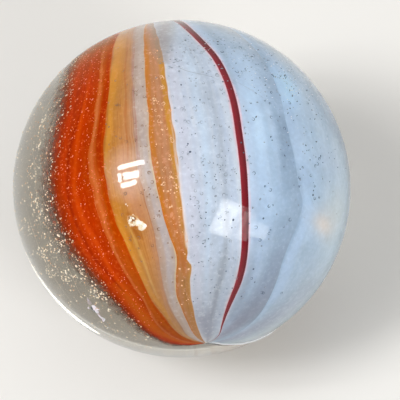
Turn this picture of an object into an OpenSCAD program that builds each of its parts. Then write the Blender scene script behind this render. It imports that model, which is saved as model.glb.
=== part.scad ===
// Glass marble: one solid ball of clear glass with ribbons of coloured glass fused into its upper half.
// The ribbons run from one cut-off mark to the other, like the stripes of a melon, so each one is a wedge
// of the ball between two half planes through the axis of the marks. The ball lies with that axis level.
//
// Units are millimetres. The origin is the centre of the ball, +Z is up, and the front mark is at -Y.
// A place on the ball is given by its longitude, measured round the axis from the top (+Z) towards +X,
// and by its polar angle, measured from the front mark.

/* [Ball] */
// Diameter of the ball
ball_d = 16; // [12:0.5:25]

/* [Ribbons] */
// Longitude where the clear glass ends and the first ribbon starts
first_edge_angle = -47; // [-60:1:-35]
// Angle that the vermilion ribbon covers
vermilion_angle = 19.5; // [14:0.5:28]
// Angle that the amber ribbon covers
amber_angle = 11; // [6:0.5:14]
// Angle that the pink-grey ribbon covers
grey_angle = 5; // [3:0.5:8]
// Angle that the orange ribbon covers
orange_angle = 7.5; // [4:0.5:12]
// Angle that the white ribbon covers
white_angle = 20; // [12:0.5:28]
// Angle that the dark red thread covers
thread_angle = 2.5; // [1:0.5:5]
// Angle that the blue-white opal glass covers
opal_angle = 109.5; // [80:1:130]

/* [Cut-off crease] */
// Width of the crease along the edge of the opal glass
crease_w = 0.12; // [0.08:0.02:0.2]
// Depth of the crease
crease_depth = 0.04; // [0.02:0.01:0.06]
// Length of the crease over the ball, from the front mark
crease_len = 4; // [2:0.5:6]

/* [Chips] */
// Width of the larger lobe of the chip on the amber ribbon
chip_w = 0.6; // [0.3:0.1:1]
// Width of its smaller lobe
chip_tail_w = 0.5; // [0.2:0.05:0.6]
// Distance between the middles of the two lobes
chip_len = 0.5; // [0.2:0.1:0.6]
// Angle that the chip is turned out of the run of the ribbon
chip_turn = 40; // [-90:5:90]
// Depth of the chip
chip_depth = 0.07; // [0.05:0.01:0.1]
// Distance over the ball from the vermilion ribbon to the middle of the chip
chip_in = 0.45; // [0.3:0.05:1]
// Polar angle of the chip
chip_polar = 56; // [30:1:150]
// Width of the bruise on the clear glass
bruise_w = 0.55; // [0.3:0.05:0.8]
// Depth of the bruise
bruise_depth = 0.08; // [0.05:0.01:0.1]
// Distance over the ball from the bruise to the vermilion ribbon
bruise_gap = 2.4; // [1:0.1:4]
// Polar angle of the bruise
bruise_polar = 39; // [25:1:150]

/* [Hidden] */
$fn = 120;
ball_r = ball_d / 2;

// The ribbons in their order round the axis: the colour of each and the angle that it covers.
RIBBONS = [
    ["orangered", vermilion_angle],
    ["orange", amber_angle],
    ["rosybrown", grey_angle],
    ["darkorange", orange_angle],
    ["ghostwhite", white_angle],
    ["darkred", thread_angle],
    ["aliceblue", opal_angle]
];
CLEAR = [0.72, 0.74, 0.70, 0.45];

// Longitude of a ribbon's first edge, or of the last ribbon's far edge when n is the number of ribbons.
function edge(n) = n == 0 ? first_edge_angle : edge(n - 1) + RIBBONS[n - 1][1];

last_edge = edge(len(RIBBONS));

// Angle at the ball's centre of an arc of the ball that is this long.
function arc_angle(length) = length / ball_r * 180 / PI;

// Longitudes between two places that are this far apart at this polar angle.
function longitude_step(length, polar) = arc_angle(length) / sin(polar);

// Turns what stands on the XZ plane, with the axis along Z, to a longitude of the ball.
module at_longitude(a) {
    rotate([90, 0, 0]) rotate([0, 0, 90 - a]) children();
}

// Points what is at the centre and looks along Z at a place on the ball, with -X towards the front mark.
module at_place(a, polar) {
    at_longitude(a) rotate([0, polar, 0]) children();
}

// Wedge of the ball between two longitudes.
module wedge(from, angle) {
    at_longitude(from + angle)
        rotate_extrude(angle = angle)
            intersection() {
                circle(r = ball_r);
                translate([0, -ball_r]) square([ball_r, ball_d]);
            }
}

// Ball that bites a round dish, of this width and depth, out of the marble at its +Z pole.
module dish(width, depth) {
    cap = ball_r - sqrt(ball_r ^ 2 - (width / 2) ^ 2);
    sink = depth - cap;
    bite_r = ((width / 2) ^ 2 + sink ^ 2) / (2 * sink);
    translate([0, 0, ball_r - depth + bite_r]) sphere(r = bite_r);
}

// Two-lobed chip: the glass flaked off in two bites, with the smaller one nearer the front mark.
module chip() {
    lean = arc_angle(chip_len) / 2;
    rotate([0, 0, chip_turn]) {
        rotate([0, lean, 0]) dish(chip_w, chip_depth);
        rotate([0, -lean, 0]) dish(chip_tail_w, chip_depth);
    }
}

// Round groove along a meridian, from the front mark.
module crease() {
    groove_r = ((crease_w / 2) ^ 2 + crease_depth ^ 2) / (2 * crease_depth);
    at_longitude(last_edge)
        rotate([90, 0, 0]) rotate([0, 0, 90 - arc_angle(crease_len)])
            rotate_extrude(angle = arc_angle(crease_len))
                translate([ball_r - crease_depth + groove_r, 0]) circle(r = groove_r);
}

module ball() {
    for (n = [0 : len(RIBBONS) - 1])
        color(RIBBONS[n][0]) wedge(edge(n), RIBBONS[n][1]);
    color(CLEAR) wedge(last_edge, 360 + first_edge_angle - last_edge);
}

module marble() {
    difference() {
        ball();
        at_place(edge(1) + longitude_step(chip_in, chip_polar), chip_polar) chip();
        at_place(first_edge_angle - longitude_step(bruise_gap, bruise_polar), bruise_polar)
            dish(bruise_w, bruise_depth);
        crease();
    }
}

marble();
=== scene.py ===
"""Glass marble: a ball of clear glass with ribbons of coloured glass fused over its upper half.

Everything is in metres in the CAD frame: the ball's centre is the origin, +Z is up and the front
cut-off mark is at -Y. A place on the ball is given by its longitude, in degrees from the top (+Z)
towards +X, and by its polar angle, in degrees from the front mark.
"""

import math

import bmesh
import bpy
import numpy as np
from mathutils import Matrix, Vector


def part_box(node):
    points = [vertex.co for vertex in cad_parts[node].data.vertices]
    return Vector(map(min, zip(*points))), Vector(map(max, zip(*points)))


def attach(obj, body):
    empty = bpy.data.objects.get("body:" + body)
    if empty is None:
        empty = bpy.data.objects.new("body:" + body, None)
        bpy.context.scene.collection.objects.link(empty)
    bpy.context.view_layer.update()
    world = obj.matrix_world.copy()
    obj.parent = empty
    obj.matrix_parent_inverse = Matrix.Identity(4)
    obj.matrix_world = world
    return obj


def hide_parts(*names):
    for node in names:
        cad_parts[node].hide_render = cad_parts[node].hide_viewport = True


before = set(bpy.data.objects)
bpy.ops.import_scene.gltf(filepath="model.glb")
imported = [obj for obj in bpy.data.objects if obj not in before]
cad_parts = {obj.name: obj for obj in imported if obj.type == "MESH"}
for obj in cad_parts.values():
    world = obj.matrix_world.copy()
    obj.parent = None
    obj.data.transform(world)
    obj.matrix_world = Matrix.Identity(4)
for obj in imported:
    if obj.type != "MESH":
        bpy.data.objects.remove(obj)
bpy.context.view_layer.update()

MM = 0.001
LOW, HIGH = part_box("marble")
RADIUS = (HIGH.y - LOW.y) / 2
rng = np.random.default_rng(5)


# ---------------------------------------------------------------- places on the ball

def outward(longitude, polar):
    """Unit vectors to places on the ball."""
    a, p = np.radians(longitude), np.radians(polar)
    return np.stack([np.sin(p) * np.sin(a), -np.cos(p), np.sin(p) * np.cos(a)], -1)


def chart_of(n):
    """(longitude, polar angle) of unit vectors."""
    return np.degrees(np.arctan2(n[..., 0], n[..., 2])), np.degrees(np.arccos(np.clip(-n[..., 1], -1, 1)))


def smooth_step(low, high, x):
    t = np.clip((x - low) / (high - low), 0, 1)
    return t * t * (3 - 2 * t)


def course(*points, ragged=0.0, waves=0):
    """A border of a ribbon: its longitude as a smooth function of the polar angle, through (polar, longitude)
    points. ragged is how far, in degrees of longitude, it wavers from that in short waves."""
    polar, longitude = np.array(points, float).T
    slope = np.gradient(longitude, polar)
    rates = rng.uniform(0.12, 0.9, waves)
    phases = rng.uniform(0, 2 * math.pi, waves)

    def at(p):
        i = np.clip(np.searchsorted(polar, p, side="right") - 1, 0, len(polar) - 2)
        step = polar[i + 1] - polar[i]
        t = (p - polar[i]) / step
        line = (
            (1 + 2 * t) * (1 - t) ** 2 * longitude[i] + t * (1 - t) ** 2 * step * slope[i]
            + t * t * (3 - 2 * t) * longitude[i + 1] + t * t * (t - 1) * step * slope[i + 1]
        )
        for rate, phase in zip(rates, phases):
            line = line + ragged / math.sqrt(max(waves, 1)) * np.sin(rate * p + phase)
        return line

    return at


# The borders between the ribbons, in their order round the ball.
CLEAR_END = course(
    (0, -100), (10, -90), (20, -70), (30, -59), (40, -54), (60, -53), (70, -52), (80, -49), (90, -44),
    (100, -39.5), (110, -38), (120, -39), (140, -44), (160, -58), (180, -80), ragged=0.25, waves=7,
)
SALMON_START = course(
    (0, -80), (10, -68), (20, -53), (30, -42), (40, -39.5), (50, -38), (60, -37), (70, -35.5), (80, -34),
    (90, -30), (100, -28), (110, -26.7), (120, -27.4), (140, -30), (160, -38), (180, -55),
    ragged=0.15, waves=5,
)
SALMON_END = course(
    (0, -76), (10, -63), (20, -49.5), (30, -40), (40, -37.8), (50, -36.3), (57, -34.6), (65, -32.6),
    (72, -31.6), (80, -31.2), (86, -29.8), (92, -27.8), (100, -26.2), (110, -25), (120, -25.7),
    (140, -28), (160, -35), (180, -50), ragged=0.25, waves=6,
)
AMBER_START = course(
    (0, -62), (10, -51), (20, -40), (30, -36), (40, -32.4), (50, -31.2), (60, -30.8), (70, -29.6),
    (80, -28), (90, -25.3), (100, -23.3), (110, -22.5), (120, -22.5), (140, -24), (160, -29), (180, -40),
    ragged=0.15, waves=5,
)
ROSE_START = course(
    (0, -52), (8, -43), (15, -33), (20, -30), (30, -25), (40, -21), (50, -18), (60, -17.6), (70, -17.2),
    (80, -16.4), (90, -15.5), (100, -14.8), (110, -14.5), (120, -14), (140, -15), (160, -18), (180, -26),
    ragged=0.2, waves=5,
)
STRIPE_START = course(
    (0, -38), (8, -29), (15, -23), (20, -21), (30, -18), (35, -15), (40, -12.2), (45, -11.4), (50, -12.2),
    (60, -12.6), (70, -12.4), (80, -12), (90, -10.7), (100, -10.5), (110, -9.9), (125, -9.8), (150, -10),
    (180, -14), ragged=0.12, waves=5,
)
WHITE_START = course(
    (0, -22), (8, -15), (15, -12.4), (20, -10.8), (30, -8.6), (33, -7.6), (36, -5.9), (38.6, -5.6),
    (40.4, -7), (42.5, -5.8), (45, -5.2), (50, -5), (60, -4.6), (70, -4), (80, -3.6), (100, -3.6),
    (110, -3.3), (120, -3.8), (130, -4.5), (150, -6), (180, -9), ragged=0.14, waves=6,
)
THREAD_MIDDLE = course(
    (0, 72), (5, 47), (10, 30), (15, 23.8), (20, 22), (25, 22), (30, 22.6), (35, 22.4), (40, 21.8),
    (50, 20), (60, 18.8), (70, 18), (80, 17.3), (90, 17), (100, 16.2), (110, 14.5), (120, 11.5),
    (130, 9.2), (140, 8), (155, 7), (180, 12),
)
FOLD_EDGE = course(
    (0, 100), (10, 78), (20, 63), (30, 52), (35, 48.5), (40, 45.5), (45, 44.5), (55, 45), (61, 44.5),
    (65, 41.5), (70, 39.5), (75, 38), (80, 36.5), (85, 35.5), (95, 35), (110, 34), (130, 32), (155, 32),
    (180, 45),
)
OPAL_END = course(
    (0, 128), (15, 128), (28, 128.5), (36, 131), (45, 133), (60, 133), (90, 130), (120, 128), (150, 130),
    (180, 145),
)
# How far the vermilion's loose fringe reaches over the clear glass, in degrees of longitude.
FRINGE = 12
THREAD_WIDTH = 0.34 * MM


def fringe_start(p):
    """Where the vermilion's loose fringe starts."""
    return CLEAR_END(p) - FRINGE


def thread_half(p):
    """Half the thread's width in degrees of longitude: an even width that tapers at both marks."""
    taper = smooth_step(-2, 38, p) * smooth_step(0, 45, 180 - p)
    return np.degrees(THREAD_WIDTH / 2 * taper / (RADIUS * np.maximum(np.sin(np.radians(p)), 0.02)))


def thread_start(p):
    return THREAD_MIDDLE(p) - thread_half(p)


def thread_end(p):
    return THREAD_MIDDLE(p) + thread_half(p)


# ---------------------------------------------------------------- dents in the surface

class Dish:
    """A shallow round bite out of the ball: where, how wide and how deep."""

    def __init__(self, longitude, polar, width, depth):
        cap = RADIUS - math.sqrt(RADIUS**2 - (width / 2) ** 2)
        sink = depth - cap
        bite = ((width / 2) ** 2 + sink**2) / (2 * sink)
        self.out = outward(longitude, polar)
        self.middle = self.out * (RADIUS - depth + bite)
        self.bite = bite

    def radius(self, n):
        """Distance from the ball's centre to the dish's floor in these directions, and RADIUS outside it."""
        along = n @ self.middle
        inside = self.bite**2 - self.middle @ self.middle + along**2
        floor = along - np.sqrt(np.maximum(inside, 0))
        return np.where((inside > 0) & (along > 0) & (floor < RADIUS), floor, RADIUS)


def side_of(longitude, polar, turn, distance):
    """The place this far over the ball from another, on a way turned from the front mark to +longitude."""
    arc = math.degrees(distance / RADIUS)
    turned = math.radians(turn)
    return longitude + arc * math.sin(turned) / math.sin(math.radians(polar)), polar - arc * math.cos(turned)


CHIP_AT = (-23.2, 56)
CHIP_TURN = 40
CHIP_LENGTH = 0.46 * MM
CHIP_DEPTH = 0.07 * MM
SADDLE_DEPTH = 0.05 * MM
# The chip's big lobe, its small lobe and the saddle between them: (place along the chip, width, depth).
CHIP_DISHES = [
    (-CHIP_LENGTH / 2, 0.58 * MM, CHIP_DEPTH),
    (CHIP_LENGTH / 2, 0.46 * MM, CHIP_DEPTH),
    (0.03 * MM, 0.36 * MM, SADDLE_DEPTH),
]
CHIP = [Dish(*side_of(*CHIP_AT, CHIP_TURN, at), width, depth) for at, width, depth in CHIP_DISHES]
# How rough the chip's floor is, how ragged its rim is, and how deep it is where the unbroken surface ends.
CHIP_LUMPS = 0.03 * MM
CHIP_RAGGED = 0.016 * MM
CHIP_LIP = 0.012 * MM
BRUISE_AT = (-74.3, 39)
BRUISE_WIDTH = 0.55 * MM
BRUISE_DEPTH = 0.08 * MM
BRUISE = Dish(*BRUISE_AT, BRUISE_WIDTH, BRUISE_DEPTH)
CREASE_LONGITUDE = 128
CREASE_LENGTH = 4 * MM
CREASE_WIDTH = 0.12 * MM
CREASE_DEPTH = 0.04 * MM
CREASE_FADES = 0.5 * MM


def by_the_crease(n):
    """How far these directions lie to the side of the crease's plane, and how far ahead along it."""
    a = math.radians(CREASE_LONGITUDE)
    return n @ np.array([math.cos(a), 0, -math.sin(a)]), n @ np.array([math.sin(a), 0, math.cos(a)])


def crease_sink(n):
    """How deep the crease is in these directions: a narrow groove from the front mark along the seam."""
    side, ahead = by_the_crease(n)
    along = np.arctan2(ahead, -n[..., 1]) * RADIUS
    start = smooth_step(-0.1 * MM, 0.1 * MM, along)
    end = smooth_step(CREASE_LENGTH, CREASE_LENGTH - CREASE_FADES, along)
    groove = np.sqrt(np.maximum(1 - (2 * side * RADIUS / CREASE_WIDTH) ** 2, 0))
    return CREASE_DEPTH * groove * (end * start)


# ---------------------------------------------------------------- meshes

def in_scene(name, data):
    """A new object in the scene, with this mesh, lamp or camera."""
    made = bpy.data.objects.new(name, data)
    bpy.context.scene.collection.objects.link(made)
    return made


def smooth_piece(name, mesh, material):
    mesh.materials.append(material)
    mesh.shade_smooth()
    return in_scene(name, mesh)


def new_object(name, points, faces, material):
    mesh = bpy.data.meshes.new(name)
    mesh.from_pydata([tuple(p) for p in points], [], [tuple(f) for f in faces])
    return smooth_piece(name, mesh, material)


def glass_piece(piece):
    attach(piece, "root")
    return piece


def add_corner_map(mesh, name, x, y):
    """Writes a pair of numbers for each corner of each face as a UV map."""
    layer = mesh.uv_layers.new(name=name)
    layer.uv.foreach_set("vector", np.stack([x, y], -1).astype(np.float32).ravel())


def add_number(mesh, name, values):
    layer = mesh.attributes.new(name, "FLOAT", "POINT")
    layer.data.foreach_set("value", np.asarray(values, np.float32))


ROW_STEP = 1.0
CHIP_ROW_STEP = 0.2
CHIP_ROWS_REACH = 4


def polar_rows():
    """Rows of the ribbons' grid: even ones, with closer ones over the chip."""
    low, high = CHIP_AT[1] - CHIP_ROWS_REACH, CHIP_AT[1] + CHIP_ROWS_REACH
    rows = np.arange(0.6, 179.5, ROW_STEP)
    rows = rows[(rows < low) | (rows > high)]
    return np.sort(np.concatenate([rows, np.arange(low, high + CHIP_ROW_STEP / 2, CHIP_ROW_STEP)]))


ROWS = polar_rows()
# How far the coloured glass stands over the ball, how deep it is, what share of that depth is left at the
# marks, over how many degrees it thins out there, and how far the clear glass dips under it.
LIFT = 0.005 * MM
SHEET = 0.9 * MM
LEFT_AT_MARK = 0.1
THINS_OVER = 14
STEP_DOWN = 0.14 * MM
# Over how many degrees of arc the clear glass steps down from its two borders with the coloured glass.
STEP_BY_RED = (6, 9)
STEP_BY_OPAL = (2, 5)


def lumps(shape, spread):
    """Soft random lumps on a grid, about -1 to 1."""
    field = rng.standard_normal(shape)
    for _ in range(spread):
        field = field + np.roll(field, 1, 0) + np.roll(field, -1, 0)
        field = field + np.roll(field, 1, 1) + np.roll(field, -1, 1)
    return field / np.abs(field).max()


def dented_surface(n, dishes):
    """The outer face of a chipped ribbon: its distance from the ball's centre, and where it is broken."""
    floor = np.min([dish.radius(n) for dish in dishes], 0)
    inside = floor < RADIUS
    depth = RADIUS - floor + CHIP_LUMPS * lumps(floor.shape, 2) * inside
    broken = inside & (depth + CHIP_RAGGED * lumps(floor.shape, 6) > CHIP_LIP)
    return np.where(broken, RADIUS - np.maximum(depth, 0), RADIUS + LIFT), broken


def ribbon_shell(name, ribbons):
    """All the ribbons as one closed sheet of glass from mark to mark, a material to each. ribbons: (border
    where it starts, columns of faces, material), and last of all the border where the sheet ends.
    Map ribbon holds (share of the way across a ribbon, share of the way along it), and map chart holds the
    longitude and polar angle in hundreds of degrees."""
    borders = [start(ROWS) for start, _, _ in ribbons[:-1]] + [ribbons[-1](ROWS)]
    longitude, own, share = [], [], []
    for k, (_, columns, _) in enumerate(ribbons[:-1]):
        steps = np.arange(columns) / columns
        longitude.append(borders[k][:, None] + (borders[k + 1] - borders[k])[:, None] * steps)
        own += [k] * columns
        share += list(steps)
    longitude = np.concatenate([*longitude, borders[-1][:, None]], 1)
    p = np.broadcast_to(ROWS[:, None], longitude.shape)
    n = outward(longitude, p)
    outer, broken = dented_surface(n, CHIP)
    outer = outer - crease_sink(n)
    full = smooth_step(0, THINS_OVER, p) * smooth_step(0, THINS_OVER, 180 - p)
    inner = RADIUS - SHEET * (LEFT_AT_MARK + (1 - LEFT_AT_MARK) * full)
    points = np.concatenate([(n * outer[..., None]).reshape(-1, 3), (n * inner[..., None]).reshape(-1, 3)])
    grid = np.arange(p.size).reshape(p.shape)
    faces, column = shell_faces(grid, grid + p.size)
    piece = new_object(name, points, faces, ribbons[0][2])
    mesh = piece.data
    for _, _, material in ribbons[1:-1]:
        mesh.materials.append(material)
    mesh.polygons.foreach_set("material_index", np.array(own, np.int32)[column])
    at = faces % p.size
    across = share_at(np.array(share), np.array(own), column, at % p.shape[1])
    add_corner_map(mesh, "ribbon", across, p.ravel()[at] / 180)
    add_corner_map(mesh, "chart", longitude.ravel()[at] / 100, p.ravel()[at] / 100)
    add_number(mesh, "scar", np.tile(broken.ravel(), 2))
    add_number(mesh, "under", np.repeat([0, 1], p.size))
    sharpen(mesh)
    radial_normals(mesh, broken.ravel())
    return glass_piece(piece)


def share_at(share, own, column, corner_column):
    """How far across its ribbon each corner of each face is. A ribbon's last corner is at 1."""
    count = np.bincount(own)[own]
    start = share[column][:, None]
    step = 1 / count[column][:, None]
    return start + step * (corner_column > column[:, None])


def shell_faces(grid, below):
    """Faces of a closed sheet and the column each is in: an outer grid, an inner one and four walls."""

    def sheet(g):
        return np.stack([g[:-1, :-1], g[:-1, 1:], g[1:, 1:], g[1:, :-1]], -1).reshape(-1, 4)

    def wall(a, b):
        return np.stack([a[:-1], a[1:], b[1:], b[:-1]], -1)

    rows, columns = grid.shape
    all_columns = np.tile(np.arange(columns - 1), rows - 1)
    faces = [
        sheet(grid)[:, ::-1], sheet(below),
        wall(grid[:, 0], below[:, 0])[:, ::-1], wall(grid[:, -1], below[:, -1]),
        wall(grid[0], below[0]), wall(grid[-1], below[-1])[:, ::-1],
    ]
    column = [
        all_columns, all_columns, np.zeros(rows - 1, int), np.full(rows - 1, columns - 2),
        np.arange(columns - 1), np.arange(columns - 1),
    ]
    return np.concatenate(faces), np.concatenate(column)


def sharpen(mesh):
    """Points every face outward and makes the edges of the walls sharp."""
    bm = bmesh.new()
    bm.from_mesh(mesh)
    bmesh.ops.recalc_face_normals(bm, faces=bm.faces)
    for edge in bm.edges:
        a, b = (f.normal for f in edge.link_faces)
        edge.smooth = a.dot(b) > 0.7
    bm.to_mesh(mesh)
    bm.free()


def radial_normals(mesh, broken):
    """Gives the outer face the ball's own normals, so that reflections run on from ribbon to ribbon."""

    def read(rows, field, columns, kind):
        values = np.empty(len(rows) * columns, kind)
        rows.foreach_get(field, values)
        return values.reshape(-1, columns)

    corner = read(mesh.loops, "vertex_index", 1, np.int32)[:, 0]
    normals = read(mesh.corner_normals, "vector", 3, np.float32)
    points = read(mesh.vertices, "co", 3, np.float32)
    size = np.linalg.norm(points, axis=1, keepdims=True)
    radial = points / size
    facing = (normals * radial[corner]).sum(1)
    whole = np.concatenate([~broken, np.zeros(len(broken), bool)]) & (size[:, 0] > RADIUS)
    flat = whole[corner] & (facing > 0.5)
    normals[flat] = radial[corner][flat]
    mesh.normals_split_custom_set(normals)


def glass_radius(n):
    """The clear glass's surface: the ball, its bruise, and a step down under the ribbons."""
    longitude, p = chart_of(n)
    arc = np.sin(np.radians(p))
    by_red = smooth_step(*STEP_BY_RED, (longitude - CLEAR_END(p)) * arc)
    by_opal = smooth_step(*STEP_BY_OPAL, (OPAL_END(p) - longitude) * arc)
    return BRUISE.radius(n) - crease_sink(n) - STEP_DOWN * (by_red * by_opal)


def refine(bm, wanted):
    """Cuts the faces in two where wanted(directions of their middles) is true."""
    middles = np.array([f.calc_center_median().normalized()[:] for f in bm.faces])
    near = wanted(middles)
    edges = {e for f, is_near in zip(bm.faces, near) if is_near for e in f.edges}
    bmesh.ops.subdivide_edges(bm, edges=list(edges), cuts=1, use_grid_fill=True)


def near_bruise(reach):
    """Whether directions are within this many degrees of the bruise."""
    return lambda n: n @ BRUISE.out > math.cos(math.radians(reach))


def near_crease(reach):
    """Whether directions are within this share of the ball's radius of the crease."""

    def near(n):
        side, ahead = by_the_crease(n)
        return (np.abs(side) < reach) & (ahead > -reach) & (-n[..., 1] > 0.8)

    return near


def clear_ball(material):
    """The whole ball in clear glass, finer at its bruise and crease. The ribbons lie over its upper half."""
    bm = bmesh.new()
    bmesh.ops.create_icosphere(bm, subdivisions=7, radius=1)
    for wanted in (near_bruise(4.2), near_bruise(3.2), near_crease(0.03), near_crease(0.02)):
        refine(bm, wanted)
    n = np.array([v.co.normalized()[:] for v in bm.verts])
    for v, way, r in zip(bm.verts, n, glass_radius(n)):
        v.co = Vector(way * r)
    mesh = bpy.data.meshes.new("clear_glass")
    bm.to_mesh(mesh)
    bm.free()
    return glass_piece(smooth_piece("clear_glass", mesh, material))


# ---------------------------------------------------------------- small marks: seeds, rings, crumbs and hairs

def unit_blob(fineness):
    bm = bmesh.new()
    bmesh.ops.create_icosphere(bm, subdivisions=fineness, radius=1)
    points = np.array([v.co[:] for v in bm.verts])
    faces = np.array([[v.index for v in f.verts] for f in bm.faces])
    bm.free()
    return points, faces


def frame_at(longitude, polar, turn):
    """(along, across, outward) at a place on the ball. At turn 0, along points to greater longitude."""
    out = outward(longitude, polar)
    east = np.array([out[2], 0, -out[0]])
    east /= np.linalg.norm(east)
    north = np.cross(out, east)
    c, s = math.cos(turn), math.sin(turn)
    return east * c + north * s, north * c - east * s, out


def joined(name, parts, material):
    """One object from several (points, faces, shades)."""
    points, faces, shades, count = [], [], [], 0
    for part_points, part_faces, shade in parts:
        points.append(part_points)
        faces += [tuple(int(i) + count for i in f) for f in part_faces]
        shades.append(np.broadcast_to(shade, len(part_points)))
        count += len(part_points)
    piece = new_object(name, np.concatenate(points), faces, material)
    add_number(piece.data, "shade", np.concatenate(shades))
    return glass_piece(piece)


def at_place(blob, longitude, polar, long_radius, short_radius, height, depth, turn):
    """The points of a round blob, stretched and set at a place on the ball."""
    x, y, out = frame_at(longitude, polar, turn)
    points = blob[:, :1] * long_radius * x + blob[:, 1:2] * short_radius * y + blob[:, 2:] * height * out
    return points + out * (RADIUS - depth)


def seeds(name, places, material):
    """Small bubbles. places: (longitude, polar, long radius, short radius, height, depth, turn) of each."""
    blob, faces = unit_blob(2)
    # Each seed is lighter in the middle and darker at its rim: painted shading of a round bubble.
    from_middle = np.hypot(blob[:, 0], blob[:, 1])
    return joined(name, [(at_place(blob, *place), faces, from_middle) for place in places], material)


def crumbs(name, places, material):
    """Broken bits and flakes: lumpy blobs with flat faces. places are as for seeds, in mm."""
    blob, faces = unit_blob(2)
    parts = []
    for longitude, polar, *sizes, turn in places:
        lumpy = blob * rng.uniform(0.62, 1.1, (len(blob), 1))
        points = at_place(lumpy, longitude, polar, *(size * MM for size in sizes), turn)
        parts.append((points, faces, rng.uniform()))
    piece = joined(name, parts, material)
    piece.data.shade_flat()
    return piece


def tube(path, radii, sides):
    """A closed tube along a path of points."""
    path = np.asarray(path)
    way = np.gradient(path, axis=0)
    way /= np.linalg.norm(way, axis=1, keepdims=True)
    out = path / np.linalg.norm(path, axis=1, keepdims=True)
    side = np.cross(way, out)
    turns = np.linspace(0, 2 * math.pi, sides, endpoint=False)
    ring = np.cos(turns)[None, :, None] * side[:, None] + np.sin(turns)[None, :, None] * out[:, None]
    points = (path[:, None] + ring * np.asarray(radii)[:, None, None]).reshape(-1, 3)
    faces = []
    for i in range(len(path) - 1):
        for j in range(sides):
            k = (j + 1) % sides
            faces.append((i * sides + j, i * sides + k, (i + 1) * sides + k, (i + 1) * sides + j))
    faces += [tuple(range(sides))[::-1], tuple((len(path) - 1) * sides + j for j in range(sides))]
    return points, faces


def rings(name, places, material):
    """Burst bubbles: open rings on the surface. places: (longitude, polar, radius, thickness, opening, turn)
    of each."""
    parts = []
    for longitude, polar, radius, thickness, opening, turn in places:
        x, y, out = frame_at(longitude, polar, turn)
        a = np.linspace(opening / 2, 2 * math.pi - opening / 2, 16)[:, None]
        path = out * RADIUS + radius * (np.cos(a) * x + 0.85 * np.sin(a) * y)
        fade = np.sin(np.linspace(0.12, math.pi - 0.12, 16)) ** 0.5
        parts.append((*tube(path, thickness * fade, 5), 0.5))
    return joined(name, parts, material)


def hair(points, thickness, depth=0.0, count=24):
    """A fine line on the ball, through (longitude, polar) places. thickness and depth are in mm."""
    places = np.array(points, float)
    known = np.linspace(0, 1, len(places))
    steps = np.linspace(0, 1, count)
    longitude, polar = (np.interp(steps, known, places[:, i]) for i in (0, 1))
    for _ in range(3):
        longitude[1:-1] = (longitude[:-2] + longitude[1:-1] + longitude[2:]) / 3
        polar[1:-1] = (polar[:-2] + polar[1:-1] + polar[2:]) / 3
    fade = np.sin(np.linspace(0.06, math.pi - 0.06, count)) ** 0.6
    return (*tube(outward(longitude, polar) * (RADIUS - depth * MM), thickness * MM * fade, 5), 0.5)


# Depths in mm: level with the surface, and inside the clear glass.
FLUSH = (-0.002, 0.004)
IN_GLASS = (0.05, 0.12)


def random_seed(longitude, polar, sizes, rarity, height, depths=FLUSH, stretch=1.5, turn=None):
    """A seed at a place. sizes and depths: from and to, in mm. rarity: how seldom it is a big one. height:
    as a share of its short radius. stretch: how long it is at most. turn: the way that it lies, and any way
    where that isn't given."""
    low, high = (size * MM for size in sizes)
    size = low + (high - low) * rng.uniform() ** rarity
    way = rng.uniform(0, math.pi) if turn is None else turn + rng.uniform(-0.35, 0.35)
    longer = size * rng.uniform(1, stretch)
    depth = rng.uniform(*(depth * MM for depth in depths))
    return longitude, polar, longer, size, size * height, depth, way


def scattered(count, start, end, polar_range, sizes, height, lean=0.0, **options):
    """Random seeds between two borders, each a pair of (border, degrees added). A lean above 0 gathers them
    at the first border, below 0 at the second."""
    rows = []
    while len(rows) < count:
        p = rng.uniform(*polar_range)
        if rng.uniform() > math.sin(math.radians(p)):
            continue
        share = rng.uniform()
        share = share ** (1 + lean) if lean >= 0 else 1 - (1 - share) ** (1 - lean)
        low, high = (border(p) + more for border, more in (start, end))
        rows.append(random_seed(float(low + (high - low) * share), p, sizes, 2.4, height, **options))
    return rows


def clustered(count, middles, reach, sizes, height, **options):
    """Random seeds about some middles (longitude, polar)."""
    rows = []
    for _ in range(count):
        longitude, polar = middles[rng.integers(len(middles))]
        p = polar + rng.normal() * reach
        a = longitude + rng.normal() * reach / math.sin(math.radians(polar))
        rows.append(random_seed(a, p, sizes, 2, height, **options))
    return rows


# ---------------------------------------------------------------- materials

def screen(r, g, b):
    """A colour given as 0-255 screen values, as Blender's linear colour."""
    c = np.array([r, g, b]) / 255
    return (*np.where(c <= 0.04045, c / 12.92, ((c + 0.055) / 1.055) ** 2.4), 1.0)


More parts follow.
